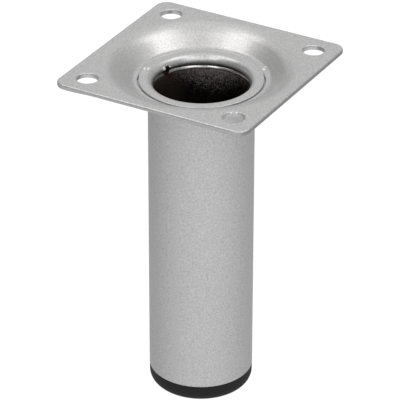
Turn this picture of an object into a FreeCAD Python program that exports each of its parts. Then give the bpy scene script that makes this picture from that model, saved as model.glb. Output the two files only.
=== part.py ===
import FreeCAD, Part
import math
import os

# Short furniture leg: a pressed mounting plate with a dished centre, a thin steel tube whose
# upper end is necked, passed through the plate, rolled flat over it and locked from below by a
# folded bead, and a moulded plastic foot pressed into the tube's lower end.
# Millimetres. The foot stands on z = 0, the leg's axis is Z, and the plate's sides lie along X and Y.

# Driving dimensions of the whole leg
total_height = 102.5
foot_head_height = 5.4

# Mounting plate, pressed from one sheet
plate_side = 60.0
plate_thickness = 1.5
plate_corner_radius = 3.5
plate_edge_round = 0.45
screw_hole_diameter = 6.0
screw_hole_spacing = 46.0
screw_hole_chamfer = 0.35

# Dish in the middle of the plate
dish_mouth_radius = 28.4
dish_depth = 4.7
dish_rim_bend = 9.5
dish_floor_bend = 2.1
ledge_outer_radius = 18.4
seat_thickness = 1.0
seat_edge_chamfer = 0.3

# Tube with its rolled flange, neck and locking bead
tube_diameter = 30.0
tube_wall = 1.0
neck_diameter = 29.6
flange_diameter = 35.1
flange_thickness = 0.8
flange_underside_bend = 1.0
flange_lip_radius = 1.7
bead_diameter = 33.2
bead_fold_gap = 0.2
bead_inner_bend = 0.8

# Moulded foot: a head under the tube and a hollow plug with fins inside it
foot_head_diameter = 29.9
foot_edge_radius = 3.0
plug_length = 14.0
plug_diameter = 25.0
plug_wall = 1.5
plug_hollow_sink = 1.2
fin_count = 3
fin_thickness = 1.0
fin_spacing = 3.6
fin_first_height = 3.0
gate_dimple_diameter = 3.0
gate_dimple_depth = 0.3

# Clearances between mating pieces
flange_to_recess = 0.35
neck_to_hole = 0.05
fin_to_bore = 0.05

# Heights and radii that follow from the sizes above
plate_top = total_height
ledge_top = plate_top - dish_depth
seat_top = ledge_top - flange_thickness
seat_bottom = seat_top - seat_thickness
tube_radius = tube_diameter / 2
bore_radius = tube_radius - tube_wall
neck_radius = neck_diameter / 2
flange_radius = flange_diameter / 2
recess_radius = flange_radius + flange_to_recess
neck_hole_radius = neck_radius + neck_to_hole
throat_radius = neck_radius - tube_wall


class Outline:
    """A closed outline in the XZ half plane, drawn point by point and turned about Z."""

    def __init__(self, radius, height):
        self.start = (radius, height)
        self.end = (radius, height)
        self.edges = []

    def point(self, place):
        return FreeCAD.Vector(place[0], 0, place[1])

    def line(self, radius, height):
        target = (radius, height)
        if math.dist(target, self.end) > 1e-7:
            self.edges.append(Part.LineSegment(self.point(self.end), self.point(target)).toShape())
            self.end = target
        return self

    def arc(self, centre, bend, start_angle, end_angle):
        """Runs along a circle from one angle to another, in degrees from +X towards +Z."""
        def on_circle(degrees):
            angle = math.radians(degrees)
            return (centre[0] + bend * math.cos(angle), centre[1] + bend * math.sin(angle))

        self.line(*on_circle(start_angle))
        middle = on_circle((start_angle + end_angle) / 2)
        target = on_circle(end_angle)
        curve = Part.Arc(self.point(self.end), self.point(middle), self.point(target))
        self.edges.append(curve.toShape())
        self.end = target
        return self

    def revolve(self):
        self.line(*self.start)
        face = Part.Face(Part.Wire(self.edges))
        return face.revolve(FreeCAD.Vector(0, 0, 0), FreeCAD.Vector(0, 0, 1), 360)


def cylinder(radius, bottom, top):
    """An upright cylinder on the leg's axis."""
    return Part.makeCylinder(radius, top - bottom, FreeCAD.Vector(0, 0, bottom))


def dish_wall_angle():
    """Slope of the dish's straight wall, tangent to the rim bend and to the floor bend, in degrees."""
    bends = dish_rim_bend + dish_floor_bend
    run = dish_mouth_radius - ledge_outer_radius
    rise = bends - dish_depth
    straight = math.sqrt(run ** 2 + rise ** 2 - bends ** 2)
    return math.degrees(math.atan2(run, rise) - math.atan2(straight, bends))


def square_blank():
    """The flat sheet with rounded corners and rolled edges, before the dish is pressed."""
    blank = Part.makeBox(
        plate_side, plate_side, plate_thickness,
        FreeCAD.Vector(-plate_side / 2, -plate_side / 2, plate_top - plate_thickness))
    corners = [edge for edge in blank.Edges if edge.BoundBox.ZLength > plate_thickness / 2]
    blank = blank.makeFillet(plate_corner_radius, corners)
    rims = [edge for edge in blank.Edges if edge.BoundBox.ZLength < plate_thickness / 2]
    return blank.makeFillet(plate_edge_round, rims)


def dish():
    """The pressed middle of the plate: rim bend, sloping wall, ledge, flange recess and neck hole."""
    slope = dish_wall_angle()
    rim_centre = (dish_mouth_radius, plate_top - dish_rim_bend)
    floor_centre = (ledge_outer_radius, ledge_top + dish_floor_bend)
    hole_lip_centre = (neck_hole_radius + flange_underside_bend, seat_top - flange_underside_bend)
    outline = Outline(dish_mouth_radius, plate_top - plate_thickness)
    outline.line(dish_mouth_radius, plate_top)
    outline.arc(rim_centre, dish_rim_bend, 90, 90 + slope)
    outline.arc(floor_centre, dish_floor_bend, 270 + slope, 270)
    outline.line(recess_radius + seat_edge_chamfer, ledge_top)
    outline.line(recess_radius, ledge_top - seat_edge_chamfer)
    outline.line(recess_radius, seat_top)
    outline.arc(hole_lip_centre, flange_underside_bend, 90, 180)
    outline.line(neck_hole_radius, seat_bottom)
    outline.line(recess_radius, seat_bottom)
    outline.line(ledge_outer_radius, ledge_top - plate_thickness)
    outline.arc(floor_centre, dish_floor_bend + plate_thickness, 270, 270 + slope)
    outline.arc(rim_centre, dish_rim_bend - plate_thickness, 90 + slope, 90)
    return outline.revolve()


def screw_holes():
    """Four round punches through the flat corners, wider at the top where the edge is eased."""
    radius = screw_hole_diameter / 2
    outline = Outline(0, plate_top - plate_thickness)
    outline.line(radius, plate_top - plate_thickness)
    outline.line(radius, plate_top - screw_hole_chamfer)
    outline.line(radius + screw_hole_chamfer, plate_top)
    outline.line(0, plate_top)
    punch = outline.revolve()
    half = screw_hole_spacing / 2
    punches = []
    for x in (-half, half):
        for y in (-half, half):
            punches.append(punch.translated(FreeCAD.Vector(x, y, 0)))
    return punches


def mounting_plate():
    """Square plate with its dish, one pressed sheet."""
    mouth = cylinder(dish_mouth_radius, plate_top - plate_thickness, plate_top)
    plate = square_blank().cut(mouth).fuse(dish()).removeSplitter()
    return plate.cut(Part.makeCompound(screw_holes()))


def leg_tube():
    """Tube from its square lower end to the bead, the neck and the flange that lies in the recess."""
    upper_fold = seat_bottom - tube_wall
    lower_fold = upper_fold - bead_fold_gap
    bead_bottom = lower_fold - tube_wall
    tip_bend = (seat_bottom - bead_bottom) / 2
    tip_centre = (bead_diameter / 2 - tip_bend, bead_bottom + tip_bend)
    underside_centre = (neck_radius + flange_underside_bend, seat_top - flange_underside_bend)
    lip_centre = (throat_radius + flange_lip_radius, ledge_top - flange_lip_radius)
    inner_centre = (bore_radius + bead_inner_bend, lower_fold - bead_inner_bend)

    outline = Outline(bore_radius, foot_head_height)
    outline.line(tube_radius, foot_head_height)
    outline.line(tube_radius, bead_bottom)
    outline.arc(tip_centre, tip_bend, 270, 450)
    outline.line(neck_radius, seat_bottom)
    outline.arc(underside_centre, flange_underside_bend, 180, 90)
    outline.line(flange_radius, seat_top)
    outline.line(flange_radius, ledge_top)
    outline.arc(lip_centre, flange_lip_radius, 90, 180)
    outline.arc((neck_radius, seat_bottom), tube_wall, 180, 270)
    outline.line(tip_centre[0], upper_fold)
    outline.line(tip_centre[0], lower_fold)
    outline.arc(inner_centre, bead_inner_bend, 90, 180)
    return outline.revolve()


def foot_cap():
    """Moulded foot in one piece: rounded head, then a hollow plug with fins that grip the bore."""
    head_radius = foot_head_diameter / 2
    dimple_radius = gate_dimple_diameter / 2
    plug_radius = plug_diameter / 2
    hollow_radius = plug_radius - plug_wall
    fin_radius = bore_radius - fin_to_bore
    plug_top = foot_head_height + plug_length
    lead = plug_wall / 2

    outline = Outline(0, gate_dimple_depth)
    outline.line(dimple_radius, gate_dimple_depth)
    outline.line(dimple_radius, 0)
    outline.arc((head_radius - foot_edge_radius, foot_edge_radius), foot_edge_radius, 270, 360)
    outline.line(head_radius, foot_head_height)
    outline.line(plug_radius, foot_head_height)
    for index in range(fin_count):
        fin_bottom = foot_head_height + fin_first_height + index * fin_spacing
        outline.line(plug_radius, fin_bottom)
        outline.line(fin_radius, fin_bottom)
        outline.line(fin_radius, fin_bottom + fin_thickness / 2)
        outline.line(plug_radius, fin_bottom + fin_thickness)
    outline.line(plug_radius, plug_top - lead)
    outline.line(plug_radius - lead, plug_top)
    outline.line(hollow_radius, plug_top)
    outline.line(hollow_radius, foot_head_height - plug_hollow_sink)
    outline.line(0, foot_head_height - plug_hollow_sink)
    return outline.revolve()


def write_parts():
    os.makedirs("parts", exist_ok=True)
    nodes = {
        "mounting_plate": mounting_plate(),
        "leg_tube": leg_tube(),
        "foot_cap": foot_cap(),
    }
    for name, shape in nodes.items():
        solids = shape.Solids
        print(name, "valid", shape.isValid(), "solids", len(solids), "volume", round(shape.Volume, 1))
        solids[0].exportStep("parts/" + name + ".step")


write_parts()
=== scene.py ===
import math
import random

import bmesh
import bpy
from mathutils import Matrix, Vector


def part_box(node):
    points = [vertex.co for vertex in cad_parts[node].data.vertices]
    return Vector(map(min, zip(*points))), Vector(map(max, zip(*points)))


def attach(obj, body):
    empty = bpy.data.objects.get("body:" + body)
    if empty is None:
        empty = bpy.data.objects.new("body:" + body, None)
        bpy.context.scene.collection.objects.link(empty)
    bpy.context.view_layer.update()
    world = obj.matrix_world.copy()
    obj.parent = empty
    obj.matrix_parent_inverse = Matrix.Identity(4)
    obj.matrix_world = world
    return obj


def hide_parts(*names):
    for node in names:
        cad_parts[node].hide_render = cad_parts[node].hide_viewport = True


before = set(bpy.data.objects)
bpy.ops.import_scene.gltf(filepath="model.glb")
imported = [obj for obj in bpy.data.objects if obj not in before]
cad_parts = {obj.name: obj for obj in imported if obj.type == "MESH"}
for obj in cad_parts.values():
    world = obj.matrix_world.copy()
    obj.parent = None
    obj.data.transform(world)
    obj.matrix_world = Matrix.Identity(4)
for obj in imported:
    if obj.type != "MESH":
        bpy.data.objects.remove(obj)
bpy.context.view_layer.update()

# A short furniture leg seen from above its mounting plate. A silver coated steel tube is flanged
# into a pressed square plate, and its lower end is closed by a black moulded foot.
# Metres. The foot stands on z = 0 and the leg's axis is Z.
bpy.context.scene.view_settings.view_transform = "Standard"


# Camera: a long lens well back from the leg, about thirty degrees round from the plate's front
# edge and thirty degrees above it, so that the dish and the bore show as well as the tube.
camera_azimuth = math.radians(29.57)
camera_elevation = math.radians(29.63)
camera_roll = math.radians(0.1)
camera_distance = 0.861
camera_lens = 272.5
film_width = 36
nearest_view = 0.05
furthest_view = 20
aim_height = 0.05912
aim_to_the_right = -0.00034

toward_camera = Vector((
    math.sin(camera_azimuth) * math.cos(camera_elevation),
    -math.cos(camera_azimuth) * math.cos(camera_elevation),
    math.sin(camera_elevation)))
level_right = Vector((math.cos(camera_azimuth), math.sin(camera_azimuth), 0))
level_front = Vector((math.sin(camera_azimuth), -math.cos(camera_azimuth), 0))
level_up = toward_camera.cross(level_right)
camera_right = level_right * math.cos(camera_roll) + level_up * math.sin(camera_roll)
camera_up = level_up * math.cos(camera_roll) - level_right * math.sin(camera_roll)
aim = level_right * aim_to_the_right + Vector((0, 0, aim_height))
camera = bpy.data.objects.new("camera", bpy.data.cameras.new("camera"))
camera.data.lens = camera_lens
camera.data.sensor_width = film_width
camera.data.clip_start = nearest_view
camera.data.clip_end = furthest_view
camera_turn = Matrix((camera_right, camera_up, toward_camera)).transposed().to_4x4()
camera.matrix_world = Matrix.Translation(aim + toward_camera * camera_distance) @ camera_turn
bpy.context.collection.objects.link(camera)
bpy.context.scene.camera = camera


# Studio sweep: a pale floor that burns out to plain white behind the leg. The room's lower half
# stands for the light that the sweep gives back, its upper half for walls and ceiling. A half's
# lean says by how much it is brighter towards the camera and towards the right.
floor_half_width = 3.0
floor_glow = 1.05
# The sweep lies a hair under the foot's sole, so that the two faces don't coincide.
floor_height = -0.0001

lower_room = 0.79
lower_lean = (0.42, 0.02)
upper_room = 0.28
upper_lean = (-0.15, 0.12)
horizon_blur = 0.08


class Recipe:
    """A cleared node tree, with short ways to add the nodes of a light or a finish."""

    def __init__(self, tree):
        tree.nodes.clear()
        self.tree = tree

    def fill(self, node, socket, value):
        """Wires another node's output to an input, or sets the input to a plain value."""
        if isinstance(value, bpy.types.NodeSocket):
            self.tree.links.new(value, node.inputs[socket])
        else:
            node.inputs[socket].default_value = value

    def node(self, kind, inputs, **settings):
        """Adds a node with its settings, and fills its inputs."""
        made = self.tree.nodes.new(kind)
        for setting, value in settings.items():
            setattr(made, setting, value)
        for socket, value in inputs.items():
            self.fill(made, socket, value)
        return made

    def axis(self, vector, name):
        """One coordinate of a vector."""
        return self.node("ShaderNodeSeparateXYZ", {"Vector": vector}).outputs[name]

    def maths(self, operation, *values):
        """A sum on plain numbers."""
        return self.node("ShaderNodeMath", dict(enumerate(values)), operation=operation).outputs["Value"]

    def vectors(self, operation, *values):
        """A sum on vectors, which gives a number for a length, a distance or a dot product."""
        made = self.node("ShaderNodeVectorMath", dict(enumerate(values)), operation=operation)
        gives_number = operation in ("LENGTH", "DISTANCE", "DOT_PRODUCT")
        return made.outputs["Value" if gives_number else "Vector"]

    def graded(self, value, start, end, low=0.0, high=1.0, **settings):
        """Goes from low to high while the value goes from start to end."""
        inputs = {"Value": value, "From Min": start, "From Max": end, "To Min": low, "To Max": high}
        return self.node("ShaderNodeMapRange", inputs, **settings).outputs["Result"]

    def blended(self, share, first, second, kind="RGBA", **settings):
        """A colour, or a number where the kind says so, between two others."""
        inputs = {"Factor": share, "A": first, "B": second}
        return self.node("ShaderNodeMix", inputs, data_type=kind, **settings).outputs["Result"]


sweep = bpy.data.materials.new("white_sweep")
sweep.use_nodes = True
recipe = Recipe(sweep.node_tree)
glow = recipe.node("ShaderNodeEmission", {"Color": (1, 1, 1, 1), "Strength": floor_glow})
recipe.node("ShaderNodeOutputMaterial", {"Surface": glow.outputs[0]})

bm = bmesh.new()
bmesh.ops.create_grid(
    bm, x_segments=1, y_segments=1, size=floor_half_width, matrix=Matrix.Translation((0, 0, floor_height)))
floor_mesh = bpy.data.meshes.new("floor")
bm.to_mesh(floor_mesh)
bm.free()
floor_mesh.materials.append(sweep)
floor = bpy.data.objects.new("floor", floor_mesh)
bpy.context.collection.objects.link(floor)
floor.visible_diffuse = False
floor.visible_glossy = False

room = bpy.data.worlds.new("studio_room")
room.use_nodes = True
recipe = Recipe(room.node_tree)
outlook = recipe.node("ShaderNodeTexCoord", {}).outputs["Generated"]
above = recipe.graded(recipe.axis(outlook, "Z"), -horizon_blur, horizon_blur, interpolation_type="SMOOTHSTEP")
halves = []
for level, (forward, sideways) in ((lower_room, lower_lean), (upper_room, upper_lean)):
    lean = level_front * forward + level_right * sideways
    halves.append(recipe.maths("ADD", recipe.vectors("DOT_PRODUCT", outlook, lean), level))
brightness = recipe.blended(above, *halves, kind="FLOAT")
background = recipe.node("ShaderNodeBackground", {"Color": (1, 1, 1, 1), "Strength": brightness})
recipe.node("ShaderNodeOutputWorld", {"Surface": background.outputs[0]})
bpy.context.scene.world = room


# Softboxes stand round the leg and face it. Each has its direction from the leg, in degrees to
# the right of the camera and above the floor, its width, its power in watts and its tint.
softbox_distance = 1.2
white = (1, 1, 1)
warm = (1, 0.98, 0.96)
softboxes = {
    "left_softbox": (-82, 60, 0.5, 1.50, warm),
    "right_softbox": (88, 60, 0.5, 1.36, warm),
    "side_left": (-115, 64, 0.5, 1.11, warm),
    "side_right": (115, 64, 0.5, 1.28, warm),
    "back_left": (-140, 62, 0.5, 0.80, white),
    "back_right": (140, 62, 0.5, 0.74, white),
    "steep_left": (-62, 74, 0.4, 0.86, warm),
    "steep_right": (62, 74, 0.4, 0.37, warm),
    "overhead": (0, 87, 0.4, 0.17, white),
    "high_left": (-30, 45, 0.4, 2.60, white),
    "high_right": (22, 45, 0.6, 2.77, white),
    "right_high": (45, 62, 0.4, 0.68, white),
    "front_right": (32, 5, 0.5, 0.26, white),
    "front_middle": (0, 25, 0.4, 0.76, white),
    "low_left": (-28, 20, 0.4, 0.38, white),
    "low_right": (28, 20, 0.4, 0.63, white),
    "back_low": (180, 32, 0.6, 0.32, white),
    "back_high": (180, 55, 0.5, 0.43, white),
    "rear_left": (-150, 35, 0.4, 0.20, white),
    "edge_right": (117, 30, 0.4, 0.30, white),
    "rear_low": (-160, 22, 0.4, 0.10, white),
}
for name, (turn, rise, width, power, tint) in softboxes.items():
    bearing = camera_azimuth + math.radians(turn)
    slant = math.radians(rise)
    direction = Vector((
        math.sin(bearing) * math.cos(slant),
        -math.cos(bearing) * math.cos(slant),
        math.sin(slant)))
    softbox = bpy.data.objects.new(name, bpy.data.lights.new(name, "AREA"))
    softbox.data.shape = "DISK"
    softbox.data.size = width
    softbox.data.energy = power
    softbox.data.color = tint
    softbox.location = aim + direction * softbox_distance
    softbox.rotation_mode = "QUATERNION"
    softbox.rotation_quaternion = direction.to_track_quat("Z", "Y")
    bpy.context.collection.objects.link(softbox)


# Silver powder coat over the whole steel part: a grey satin film full of fine bright flakes, with
# the slight orange peel that a sprayed and baked powder leaves.
coat_dark = (0.361, 0.36, 0.361, 1)
coat_colour = (0.471, 0.47, 0.471, 1)
coat_light = (0.561, 0.56, 0.56, 1)
flake_stops = ((0.3, coat_dark), (0.5, coat_colour), (0.7, coat_light))
flake_scale = 2600
flake_detail = 2.0
flake_roughness = 0.6
coat_metallic = 0.7
coat_roughness = 0.42
gloss_roughness = 0.16
peel_scale = 900
peel_detail = 3.0
peel_roughness = 0.55
peel_strength = 0.12
peel_height = 0.00004


class Finish(Recipe):
    """A new material with the nodes of its finish, from its place on the piece to its surface."""

    def __init__(self, name):
        self.material = bpy.data.materials.new(name)
        self.material.use_nodes = True
        super().__init__(self.material.node_tree)

    def place(self):
        """The place on the piece, in the object's own metres."""
        return self.node("ShaderNodeTexCoord", {}).outputs["Object"]

    def noise(self, place, scale, detail, roughness):
        """A cloud of grains, whose values lie round one half."""
        inputs = {"Vector": place, "Scale": scale, "Detail": detail, "Roughness": roughness}
        return self.node("ShaderNodeTexNoise", inputs).outputs["Fac"]

    def ramp(self, value, stops):
        """A colour that runs through two or three stops, each a value and its colour."""
        made = self.node("ShaderNodeValToRGB", {"Fac": value})
        elements = made.color_ramp.elements
        if len(stops) > len(elements):
            elements.new(0.5)
        for element, (position, colour) in zip(elements, stops):
            element.position = position
            element.color = colour
        return made.outputs["Color"]

    def relief(self, height, strength, distance):
        """A surface normal that follows a fine relief."""
        inputs = {"Height": height, "Strength": strength, "Distance": distance}
        return self.node("ShaderNodeBump", inputs).outputs["Normal"]

    def surface(self, **sockets):
        """Adds the shader. Its sockets are named with _ for a space."""
        inputs = {socket.replace("_", " "): value for socket, value in sockets.items()}
        self.shader = self.node("ShaderNodeBsdfPrincipled", inputs)
        self.node("ShaderNodeOutputMaterial", {"Surface": self.shader.outputs[0]})


def silver_coat(name):
    """The coat as a finish, which keeps its colour for the pieces that shade or wear it."""
    coat = Finish(name)
    place = coat.place()
    coat.colour = coat.ramp(coat.noise(place, flake_scale, flake_detail, flake_roughness), flake_stops)
    peel = coat.noise(place, peel_scale, peel_detail, peel_roughness)
    normal = coat.relief(peel, peel_strength, peel_height)
    coat.surface(
        Base_Color=coat.colour, Metallic=coat_metallic, Roughness=coat_roughness, Coat_Weight=1.0,
        Coat_Roughness=gloss_roughness, Normal=normal, Coat_Normal=normal)
    return coat


# Mounting plate: one pressed steel sheet with rolled edges, four punched screw holes, and a dish
# whose ledge is coined down round the neck hole to seat the tube's flange. Painted shade darkens
# the coat's colour on the sheared edges of the sheet, most on the edges that face right.
plate_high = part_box("mounting_plate")[1]
plate_top = plate_high.z
plate_half = plate_high.x

# The sheet and its outline
sheet = 0.0015
corner_radius = 0.0035
corner_steps = 12
edge_round = 0.00045
edge_steps = 6
edge_cuts = 48
thin_edge_rise = 0.00030
thin_edge_start = -0.025
thin_edge_end = 0.009
thin_edge_fade = 0.25

# Screw holes
screw_hole_radius = 0.003
screw_hole_roll = 0.00035
screw_hole_place = 0.023
screw_hole_steps = 64

# Dish
dish_mouth = 0.0284
dish_depth = 0.0047
dish_steps = 240
rim_bend = 0.0095
rim_steps = 16
rim_underside_steps = 12
floor_bend = 0.0021
floor_steps = 24
floor_underside_steps = 16
ledge_edge = 0.0184

# Flange recess, the seam along its edge, and neck hole
recess_radius = 0.0179
recess_depth = 0.0008
recess_round = 0.0003
recess_steps = 6
recess_drift = 0.0002
seam_gap = 0.00048
seam_lean = 0.0003
seam_fade = 0.25
neck_hole_radius = 0.01485
neck_hole_bend = 0.001
neck_hole_steps = 8
seat = 0.001

# A narrow flat band beside each bend keeps the shading of the flat clean. A corner that is within
# the slack of a level or a wall counts as lying on it.
flat_band = 0.0003
slack = 0.00003
weld_distance = 1e-7
crease_angle = math.radians(40)

# Painted shade multiplies the coat's colour: on all sheared edges, and deeper on those facing right.
painted_edge_shade = (0.88, 0.88, 0.88, 1)
painted_right_edge_shade = (0.54, 0.54, 0.54, 1)
outer_from = 0.0285
outer_full = 0.0289
facing_from = 0.3
facing_full = 0.7


def plate_coat():
    """The silver coat of the plate, with painted shade on the sheet's outer edges, deepest on one side."""
    coat = silver_coat("silver_coat_plate")
    normal = coat.node("ShaderNodeNewGeometry", {}).outputs["Normal"]
    flatness = coat.maths("ABSOLUTE", coat.axis(normal, "Z"))
    upright = coat.graded(flatness, facing_full, facing_from)
    span = coat.vectors("ABSOLUTE", coat.place())
    furthest = coat.maths("MAXIMUM", coat.axis(span, "X"), coat.axis(span, "Y"))
    outer = coat.graded(furthest, outer_from, outer_full)
    # Painted shade: the upright outer edges are darkened, and those facing right most.
    painted_edge_mask = coat.maths("MULTIPLY", upright, outer)
    to_the_right = coat.graded(coat.axis(normal, "X"), facing_from, facing_full)
    shade = coat.blended(to_the_right, painted_edge_shade, painted_right_edge_shade)
    coat.fill(coat.shader, "Base Color", coat.blended(painted_edge_mask, coat.colour, shade, blend_type="MULTIPLY"))
    return coat


def bend(centre, radius, start, end, steps, upright=None):
    """Points along a bend from one angle to another in degrees, oval if an upright radius is given."""
    angles = (math.radians(start + (end - start) * step / steps) for step in range(steps + 1))
    tall = upright or radius
    return [(centre[0] + radius * math.cos(a), centre[1] + tall * math.sin(a)) for a in angles]


def sweep_section(bm, loop, core_of, section):
    """Carries a closed loop of edges along a section of (distance from its core, height) points."""
    for reach, height in section:
        made = bmesh.ops.extrude_edge_only(bm, edges=loop)["geom"]
        for corner in (g for g in made if isinstance(g, bmesh.types.BMVert)):
            core = core_of(corner.co)
            outward = (corner.co.xy - core).normalized()
            corner.co = (*(core + outward * reach), height)
        loop = [g for g in made if isinstance(g, bmesh.types.BMEdge) and g.is_boundary]
    return loop


def finished(name, bm, finishes, nodes):
    """Makes the mesh a smooth shaded piece of the fixed body, in place of CAD nodes."""
    bmesh.ops.remove_doubles(bm, verts=bm.verts[:], dist=weld_distance)
    bmesh.ops.recalc_face_normals(bm, faces=bm.faces[:])
    for face in bm.faces:
        face.smooth = True
    mesh = bpy.data.meshes.new(name)
    bm.to_mesh(mesh)
    bm.free()
    mesh.set_sharp_from_angle(angle=crease_angle)
    for finish in finishes:
        mesh.materials.append(finish.material)
    piece = bpy.data.objects.new(name, mesh)
    bpy.context.collection.objects.link(piece)
    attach(piece, "root")
    if nodes:
        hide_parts(*nodes)


inner_half = plate_half - corner_radius


def plate_core(place):
    """The nearest point of the square that the plate's round corners are centred on."""
    return Vector((max(-inner_half, min(inner_half, place.x)), max(-inner_half, min(inner_half, place.y))))


def edge_section():
    """The plate's outer edge, from its top face round to its underside."""
    centre = corner_radius - edge_round
    top = bend((centre, plate_top - edge_round), edge_round, 90, 0, edge_steps)
    bottom = bend((centre, plate_top - sheet + edge_round), edge_round, 0, -90, edge_steps)
    return top + bottom + [(centre - flat_band, plate_top - sheet)]


def screw_hole_section():
    """A punched hole's wall, rolled over at both faces."""
    centre = screw_hole_radius + screw_hole_roll
    top = bend((centre, plate_top - screw_hole_roll), screw_hole_roll, 90, 180, edge_steps)
    bottom = bend((centre, plate_top - sheet + screw_hole_roll), screw_hole_roll, 180, 270, edge_steps)
    return top + bottom + [(centre + flat_band, plate_top - sheet)]


def dish_slope():
    """The slope of the dish's straight wall, which touches the rim's and the floor's bends."""
    bends = rim_bend + floor_bend
    run = dish_mouth - ledge_edge
    rise = bends - dish_depth
    straight = math.sqrt(run ** 2 + rise ** 2 - bends ** 2)
    return math.degrees(math.atan2(run, rise) - math.atan2(straight, bends))


def dish_section():
    """The dish from its mouth down to the recess and neck hole, and back along its underside."""
    slope = dish_slope()
    ledge = plate_top - dish_depth
    seat_top = ledge - recess_depth
    rim_centre = (dish_mouth, plate_top - rim_bend)
    floor_centre = (ledge_edge, ledge + floor_bend)
    recess_edge = (recess_radius + recess_round, ledge - recess_round)
    neck_edge = (neck_hole_radius + neck_hole_bend, seat_top - neck_hole_bend)
    section = bend(rim_centre, rim_bend, 90, 90 + slope, rim_steps)
    section += bend(floor_centre, floor_bend, 270 + slope, 270, floor_steps)
    section += bend(recess_edge, recess_round, 90, 180, recess_steps)
    section += [(recess_radius, seat_top)]
    section += bend(neck_edge, neck_hole_bend, 90, 180, neck_hole_steps)
    section += [(recess_radius, seat_top - seat), (ledge_edge, ledge - sheet)]
    section += bend(floor_centre, floor_bend + sheet, 270, 270 + slope, floor_underside_steps)
    section += bend(rim_centre, rim_bend - sheet, 90 + slope, 90, rim_underside_steps)
    return section + [(dish_mouth + flat_band, plate_top - sheet)]


bm = bmesh.new()
bmesh.ops.create_grid(bm, x_segments=1, y_segments=1, size=plate_half - edge_round - flat_band)
bmesh.ops.bevel(
    bm, geom=bm.verts[:], offset=corner_radius - edge_round - flat_band, offset_type="OFFSET",
    segments=corner_steps, profile=0.5, affect="VERTICES", material=-1)
bmesh.ops.delete(bm, geom=bm.faces[:], context="FACES_ONLY")
straight_sides = [edge for edge in bm.edges if edge.calc_length() > plate_half]
bmesh.ops.subdivide_edges(bm, edges=straight_sides, cuts=edge_cuts)
for corner in bm.verts:
    corner.co.z = plate_top
outline = bm.edges[:]
top_loops = list(outline)
bottom_loops = sweep_section(bm, outline, plate_core, edge_section())

openings = [((0, 0), dish_mouth + flat_band, dish_steps, dish_section())]
for x in (-screw_hole_place, screw_hole_place):
    for y in (-screw_hole_place, screw_hole_place):
        reach = screw_hole_radius + screw_hole_roll + flat_band
        openings.append(((x, y), reach, screw_hole_steps, screw_hole_section()))
for middle, reach, steps, section in openings:
    centre = Vector(middle)
    circle = bmesh.ops.create_circle(
        bm, segments=steps, radius=reach, matrix=Matrix.Translation((*middle, plate_top)))
    loop = list(dict.fromkeys(edge for corner in circle["verts"] for edge in corner.link_edges))
    top_loops += loop
    bottom_loops += sweep_section(bm, loop, lambda place: centre, section)
bmesh.ops.triangle_fill(bm, edges=top_loops, use_beauty=True, normal=(0, 0, 1))
bmesh.ops.triangle_fill(bm, edges=bottom_loops, use_beauty=True, normal=(0, 0, -1))

# The blank was sheared a little askew: one edge is thinner along its middle.
for corner in bm.verts:
    across = (corner.co.x - thin_edge_start) / (thin_edge_end - thin_edge_start)
    if corner.co.y < -inner_half and corner.co.z < plate_top - sheet / 2 and 0 < across < 1:
        swell = min(1, across / thin_edge_fade, (1 - across) / thin_edge_fade)
        corner.co.z += thin_edge_rise * swell * swell * (3 - 2 * swell)

# The coined recess sits a little off the axis, towards the side that is far from the camera. Over
# that far half its edge closes on the flange, where the powder has bridged the seam.
far_side = -toward_camera.xy.normalized()
seat_top = plate_top - dish_depth - recess_depth
for corner in bm.verts:
    above_seat = corner.co.z > seat_top - slack
    if above_seat and recess_radius - recess_round < corner.co.xy.length < ledge_edge - recess_round / 2:
        outward = corner.co.xy.normalized()
        farness = outward.dot(far_side)
        closed = max(0, min(1, farness / seam_fade))
        corner.co.xy += far_side * recess_drift - outward * (seam_gap - seam_lean * farness) * closed
finished("pressed_plate", bm, [plate_coat()], ["mounting_plate"])


# Leg tube: thin steel tube, necked at its upper end, put through the plate and rolled flat over
# it. A folded bead in the tube locks the plate from below. It is coated together with the plate.
tube_low, tube_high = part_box("leg_tube")
tube_bottom = tube_low.z
flange_radius = tube_high.x
flange_top = tube_high.z

# Tube and its lower end
tube_radius = 0.015
tube_wall = 0.001
turn_steps = 256
end_round = 0.00015
end_steps = 4

# Neck and folded bead
neck_radius = 0.0148
bead_radius = 0.0166
bead_steps = 16
fold_gap = 0.00005
fold_bend = 0.0011
fold_rise = 0.00012
fold_steps = 8

# Flange and its oval lip
flange_round = 0.0002
flange_steps = 5
flange_drift = 0.0005
underside_bend = 0.001
underside_steps = 8
throat_radius = 0.0135
lip_radius = 0.0019
lip_depth = 0.0026
lip_cut = 10
lip_steps = 22
lip_drift = 0.0005
lip_tolerance = 0.01

# Places that follow
lip_edge = throat_radius + lip_radius
lip_low = flange_top - lip_depth
lip_curve = bend((lip_edge, lip_low), lip_radius, 90, 180 - lip_cut, lip_steps, lip_depth)
lip_end_radius, lip_end_height = lip_curve[-1]
seat_bottom = flange_top - recess_depth - seat
upper_fold = seat_bottom - tube_wall + fold_rise
lower_fold = upper_fold - fold_gap
bore_top = lower_fold - fold_bend
bore_radius = tube_radius - tube_wall


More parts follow.
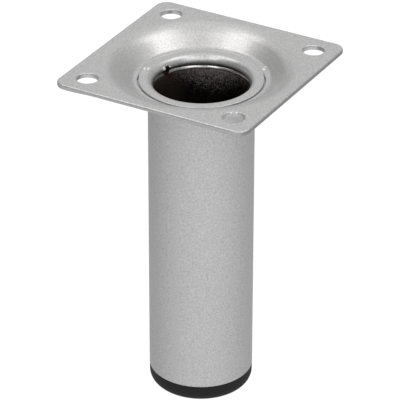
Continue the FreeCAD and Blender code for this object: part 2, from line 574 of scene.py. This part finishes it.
def tube_outline():
    """The tube's wall in section, up its outside, over the flange and down its bore."""
    seat_top = flange_top - recess_depth
    bead_bottom = seat_bottom - 2 * tube_wall - fold_gap
    tip = (seat_bottom - bead_bottom) / 2
    tip_centre = (bead_radius - tip, bead_bottom + tip)
    end_low = tube_bottom + end_round
    flange_edge = (flange_radius - flange_round, flange_top - flange_round)
    neck_edge = (neck_radius + underside_bend, seat_top - underside_bend)
    fold_reach = neck_radius - lip_end_radius
    section = bend((bore_radius + end_round, end_low), end_round, 180, 270, end_steps)
    section += bend((tube_radius - end_round, end_low), end_round, 270, 360, end_steps)
    section += [(tube_radius, bead_bottom - flat_band), (tube_radius, bead_bottom)]
    section += bend(tip_centre, tip, 270, 450, bead_steps)
    section += [(neck_radius, seat_bottom)]
    section += bend(neck_edge, underside_bend, 180, 90, underside_steps)
    section += [(flange_radius, seat_top)]
    section += bend(flange_edge, flange_round, 0, 90, flange_steps)
    section += [(lip_edge + 3 * flat_band, flange_top)]
    section += lip_curve
    section += bend(
        (neck_radius, lip_end_height), fold_reach, 180, 270, fold_steps, lip_end_height - upper_fold)
    section += [(tip_centre[0], upper_fold), (tip_centre[0], lower_fold)]
    section += bend((bore_radius + fold_bend, bore_top), fold_bend, 90, 180, fold_steps)
    return section + [(bore_radius, bore_top - flat_band)]


def turned(bm, outline, closed):
    """Turns an outline of (radius, height) points once about the leg's axis."""
    corners = [bm.verts.new((radius, 0, height)) for radius, height in outline]
    following = corners[1:] + corners[:1] if closed else corners[1:]
    for first, second in zip(corners, following):
        bm.edges.new((first, second))
    bmesh.ops.spin(
        bm, geom=bm.verts[:] + bm.edges[:], cent=(0, 0, 0), axis=(0, 0, 1),
        angle=2 * math.pi, steps=turn_steps, use_merge=True)


# The powder hardly reaches down the bore. Below the bead it is bare steel under a film of brownish
# scale, stained at the left, with a touch of rust. The scale's colours are near black, painted shade
# for the dim bore. A scatter of silver overspray flecks also paints light: it thins out with depth
# and to the sides across the view, so the top middle of the far wall is brightest.
shaded_scale_dark = (0.0010, 0.0007, 0.0006, 1)
shaded_scale_light = (0.0060, 0.0042, 0.0036, 1)
shaded_scale_stops = ((0.35, shaded_scale_dark), (0.7, shaded_scale_light))
scale_patches = 420
scale_detail = 4.0
scale_roughness = 0.6
stain_colour = (0.018, 0.0138, 0.011, 1)
stain_start = -0.0030
stain_full = -0.0085
overspray_and_light_colour = (0.26, 0.230, 0.220, 1)
overspray_grains = 2300
overspray_detail = 3.0
overspray_roughness = 0.7
overspray_and_light_depth = 0.0115
overspray_and_light_top = 0.1
overspray_and_light_bottom = -0.32
overspray_and_light_middle = 0.0025
overspray_and_light_core = 0.003
overspray_and_light_width = 0.0115
overspray_and_light_lean = 0.20
overspray_and_light_start = 0.38
overspray_and_light_full = 0.8
rust_colour = (0.030, 0.011, 0.009, 1)
rust_place = (-0.0131, 0.0049, 0.0935)
rust_reach = 0.0016
bore_roughness = 0.5
bore_shine = 0.08
bore_relief_strength = 0.3
bore_relief_height = 0.00005


def bore_steel():
    """Bare scaled steel of the bore, with painted shade and painted light."""
    steel = Finish("bore_steel")
    place = steel.place()
    aside = steel.vectors("DOT_PRODUCT", place, level_right)
    patches = steel.noise(place, scale_patches, scale_detail, scale_roughness)
    grains = steel.noise(place, overspray_grains, overspray_detail, overspray_roughness)
    # Painted shade: the scale's colours are near black.
    scale = steel.ramp(patches, shaded_scale_stops)
    stained = steel.blended(steel.graded(aside, stain_start, stain_full), scale, stain_colour)

    # Painted light: the overspray is densest at the top middle and thins with depth and to the sides.
    low = bore_top - overspray_and_light_depth
    reach = steel.graded(steel.axis(place, "Z"), low, bore_top, overspray_and_light_bottom, overspray_and_light_top)
    spread = steel.maths("ABSOLUTE", steel.maths("SUBTRACT", aside, overspray_and_light_middle))
    sparser_and_dimmer = steel.graded(spread, overspray_and_light_core, overspray_and_light_width, 0, -overspray_and_light_lean)
    flecks_and_light = steel.maths("ADD", grains, steel.maths("ADD", reach, sparser_and_dimmer))
    overspray_and_light = steel.graded(flecks_and_light, overspray_and_light_start, overspray_and_light_full)
    sprayed_and_lit = steel.blended(overspray_and_light, stained, overspray_and_light_colour)

    rusty = steel.graded(steel.vectors("DISTANCE", place, rust_place), rust_reach, rust_reach / 3)
    steel.surface(
        Base_Color=steel.blended(rusty, sprayed_and_lit, rust_colour), Roughness=bore_roughness,
        Specular_IOR_Level=bore_shine,
        Normal=steel.relief(grains, bore_relief_strength, bore_relief_height))
    return steel


# In the throat, under the lip, painted shade darkens the coat's colour more the deeper it lies. Towards
# the bead's fold the coat gives way to steel that the forming tool has burnished. Grime covers its
# left, where a chip at the lip has bared the dark and rusty metal.
throat_shade_top = flange_top - 0.0011
throat_shade_low = flange_top - 0.0023
throat_shade_most = 0.8
painted_throat_shade_colour = (0.05, 0.047, 0.044, 1)
burnish_top = flange_top - 0.0026
burnish_full = flange_top - 0.0028
burnished_colour = (0.40, 0.385, 0.37, 1)
burnished_roughness = 0.27
grime_colour = (0.008, 0.005, 0.004, 1)
grime_start = -0.0076
grime_full = -0.0108
burnish_under_grime = 0.15
gloss_under_grime = 0.1
chip_place = (-0.0132, 0.0039, 0.0953)
chip_outer = 0.0019
chip_inner = 0.0017
chip_colour = (0.014, 0.004, 0.003, 1)
ragged_scale = 1500
ragged_detail = 2.0
ragged_roughness = 0.5
ragged_depth = 0.0008


def worn_and_shaded_coat():
    """The silver coat of the throat, with painted shade under the lip, burnished, grimy at the left and
    chipped once.
    """
    coat = silver_coat("worn_and_shaded_silver_coat")
    place = coat.place()
    height = coat.axis(place, "Z")
    radius = coat.vectors("LENGTH", coat.vectors("MULTIPLY", place, (1, 1, 0)))
    inside = coat.graded(radius, neck_radius + 2 * flat_band, neck_radius + flat_band)
    aside = coat.vectors("DOT_PRODUCT", place, level_right)
    grimy = coat.graded(aside, grime_start, grime_full)

    # Painted shade: the colour darkens with depth under the lip, towards grime at the left.
    throat_shade = coat.graded(height, throat_shade_top, throat_shade_low, 0, throat_shade_most)
    shade_and_grime_colour = coat.blended(grimy, painted_throat_shade_colour, grime_colour)
    shaded_throat = coat.blended(coat.maths("MULTIPLY", inside, throat_shade), coat.colour, shade_and_grime_colour)

    below = coat.graded(height, burnish_top, burnish_full)
    clean = coat.graded(grimy, 0, 1, 1, burnish_under_grime)
    bare = coat.maths("MULTIPLY", inside, coat.maths("MULTIPLY", below, clean))
    burnished = coat.blended(bare, shaded_throat, burnished_colour)

    ragged = coat.noise(place, ragged_scale, ragged_detail, ragged_roughness)
    away = coat.vectors("DISTANCE", place, chip_place)
    torn = coat.maths("MULTIPLY_ADD", ragged, ragged_depth, away)
    chipped = coat.graded(torn, chip_outer, chip_inner)
    uncoated = coat.maths("MAXIMUM", grimy, chipped)

    coat.fill(coat.shader, "Base Color", coat.blended(chipped, burnished, chip_colour))
    coat.fill(coat.shader, "Metallic", coat.graded(bare, 0, 1, coat_metallic, 1))
    coat.fill(coat.shader, "Roughness", coat.graded(bare, 0, 1, coat_roughness, burnished_roughness))
    coat.fill(coat.shader, "Coat Weight", coat.graded(uncoated, 0, 1, 1, gloss_under_grime))
    return coat


tube_finishes = [silver_coat("silver_coat_tube"), bore_steel(), worn_and_shaded_coat()]
bore_index = 1
throat_index = 2
bm = bmesh.new()
turned(bm, tube_outline(), True)
for face in bm.faces:
    middle = face.calc_center_median()
    if middle.xy.length < tube_radius - tube_wall / 2 and middle.z < bore_top:
        face.material_index = bore_index
    elif middle.xy.length < lip_edge + flat_band and middle.z > bore_top:
        face.material_index = throat_index

# The rolled flange is a little out of true: its rim and its lip sit towards the far side.
for corner in bm.verts:
    radius = corner.co.xy.length
    height = corner.co.z
    oval = math.hypot((radius - lip_edge) / lip_radius, (height - lip_low) / lip_depth)
    on_lip = abs(oval - 1) < lip_tolerance
    on_fold = upper_fold - slack < height < lip_end_height and radius < neck_radius + slack
    if radius > flange_radius - 2 * flange_round:
        corner.co.xy += far_side * flange_drift
    elif on_lip or on_fold:
        corner.co.xy += far_side * lip_drift
finished("flanged_tube", bm, tube_finishes, ["leg_tube"])


# Coat nibs: grains and flakes caught in the powder when it was sprayed, baked on under the film.
# The first ones, on the flange, at the chip, beside the seam and on a screw hole's rim, are near
# white as painted highlights, each with its place, breadth and height, and a patch of low ones in
# the silver coat mottles the far side of the seam.
ledge_height = plate_top - dish_depth
hole_rim = plate_top - 0.00030
painted_highlight_nibs = [
    (Vector((-0.01685, -0.00258, ledge_height)), 0.00040, 0.00050),
    (Vector((-0.01590, -0.00204, ledge_height)), 0.00038, 0.00050),
    (Vector((-0.01363, 0.00262, ledge_height - 0.00140)), 0.00030, 0.00065),
    (Vector((-0.01363, 0.00310, ledge_height - 0.00175)), 0.00026, 0.00050),
    (Vector((-0.01303, 0.00497, ledge_height - 0.00165)), 0.00022, 0.00018),
    (Vector((0.01235, 0.01367, ledge_height)), 0.00042, 0.00036),
    (Vector((0.01215, 0.01488, ledge_height + 0.00010)), 0.00022, 0.00030),
    (Vector((0.02085, -0.02063, hole_rim)), 0.00032, 0.00027),
    (Vector((0.02222, -0.01990, hole_rim)), 0.00030, 0.00027),
]
# Painted highlight: these nibs are near white for the glints on them.
nib_highlight_colour = (0.88, 0.88, 0.87, 1)
nib_roughness = 0.4
patch_middle = Vector((0.0025, 0.0170, ledge_height))
patch_reach = 0.0021
patch_count = 12
patch_breadths = (0.00014, 0.00026)
patch_rise = 0.00007
patch_seed = 5

patch_nibs = []
chance = random.Random(patch_seed)
for index in range(patch_count):
    angle = chance.uniform(0, 2 * math.pi)
    reach = patch_reach * math.sqrt(chance.random())
    aside = Vector((math.cos(angle) * reach, math.sin(angle) * reach, 0))
    patch_nibs.append((patch_middle + aside, chance.uniform(*patch_breadths), patch_rise))

bm = bmesh.new()
for material_index, nibs in enumerate((painted_highlight_nibs, patch_nibs)):
    for place, breadth, rise in nibs:
        grown = bmesh.ops.create_icosphere(bm, subdivisions=2, radius=1)["verts"]
        for corner in grown:
            for face in corner.link_faces:
                face.material_index = material_index
            corner.co = place + Vector((corner.co.x * breadth, corner.co.y * breadth, corner.co.z * rise))
painted_highlight_flake = Finish("painted_highlight_flake")
painted_highlight_flake.surface(Base_Color=nib_highlight_colour, Metallic=0.0, Roughness=nib_roughness)
finished("coat_nibs", bm, [painted_highlight_flake, silver_coat("silver_coat_nibs")], [])


# Foot: a moulded black plug with a rounded head, pushed into the tube's lower end. Thin fins on
# the plug grip the bore.
foot_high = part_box("foot_cap")[1]
head_radius = foot_high.x
plug_top = foot_high.z

# Head
head_round = 0.003
head_steps = 16
shoulder_round = 0.0002
shoulder_steps = 5

# Plug and its fins
plug_radius = 0.0125
plug_wall = 0.0015
hollow_sink = 0.0012
fin_count = 3
fin_thickness = 0.001
fin_spacing = 0.0036
fin_first_height = 0.003
fin_radius = 0.01395

# The gate's dimple in the sole
dimple_radius = 0.0015
dimple_depth = 0.0003

# Moulded plastic
plastic_colour = (0.008, 0.008, 0.0085, 1)
plastic_shine = 0.2
plastic_roughness = 0.5
grain_scale = 2200
grain_detail = 3.0
grain_roughness = 0.6
grain_strength = 0.15
grain_height = 0.00004


def foot_outline():
    """The foot in section, from the middle of its sole to the middle of its hollow."""
    shoulder = tube_bottom
    section = [(0, dimple_depth), (dimple_radius - dimple_depth, dimple_depth), (dimple_radius, 0)]
    section += bend((head_radius - head_round, head_round), head_round, 270, 360, head_steps)
    section += bend(
        (head_radius - shoulder_round, shoulder - shoulder_round), shoulder_round, 0, 90, shoulder_steps)
    section += [(plug_radius, shoulder)]
    for index in range(fin_count):
        fin = shoulder + fin_first_height + index * fin_spacing
        section += [(plug_radius, fin), (fin_radius, fin), (fin_radius, fin + fin_thickness / 2)]
        section += [(plug_radius, fin + fin_thickness)]
    lead = plug_wall / 2
    section += [(plug_radius, plug_top - lead), (plug_radius - lead, plug_top)]
    section += [(plug_radius - plug_wall, plug_top)]
    section += [(plug_radius - plug_wall, shoulder - hollow_sink), (0, shoulder - hollow_sink)]
    return section


black_plastic = Finish("black_plastic")
grain = black_plastic.noise(black_plastic.place(), grain_scale, grain_detail, grain_roughness)
black_plastic.surface(
    Base_Color=plastic_colour, Roughness=plastic_roughness, Specular_IOR_Level=plastic_shine,
    Normal=black_plastic.relief(grain, grain_strength, grain_height))

bm = bmesh.new()
turned(bm, foot_outline(), False)
finished("moulded_foot", bm, [black_plastic], ["foot_cap"])
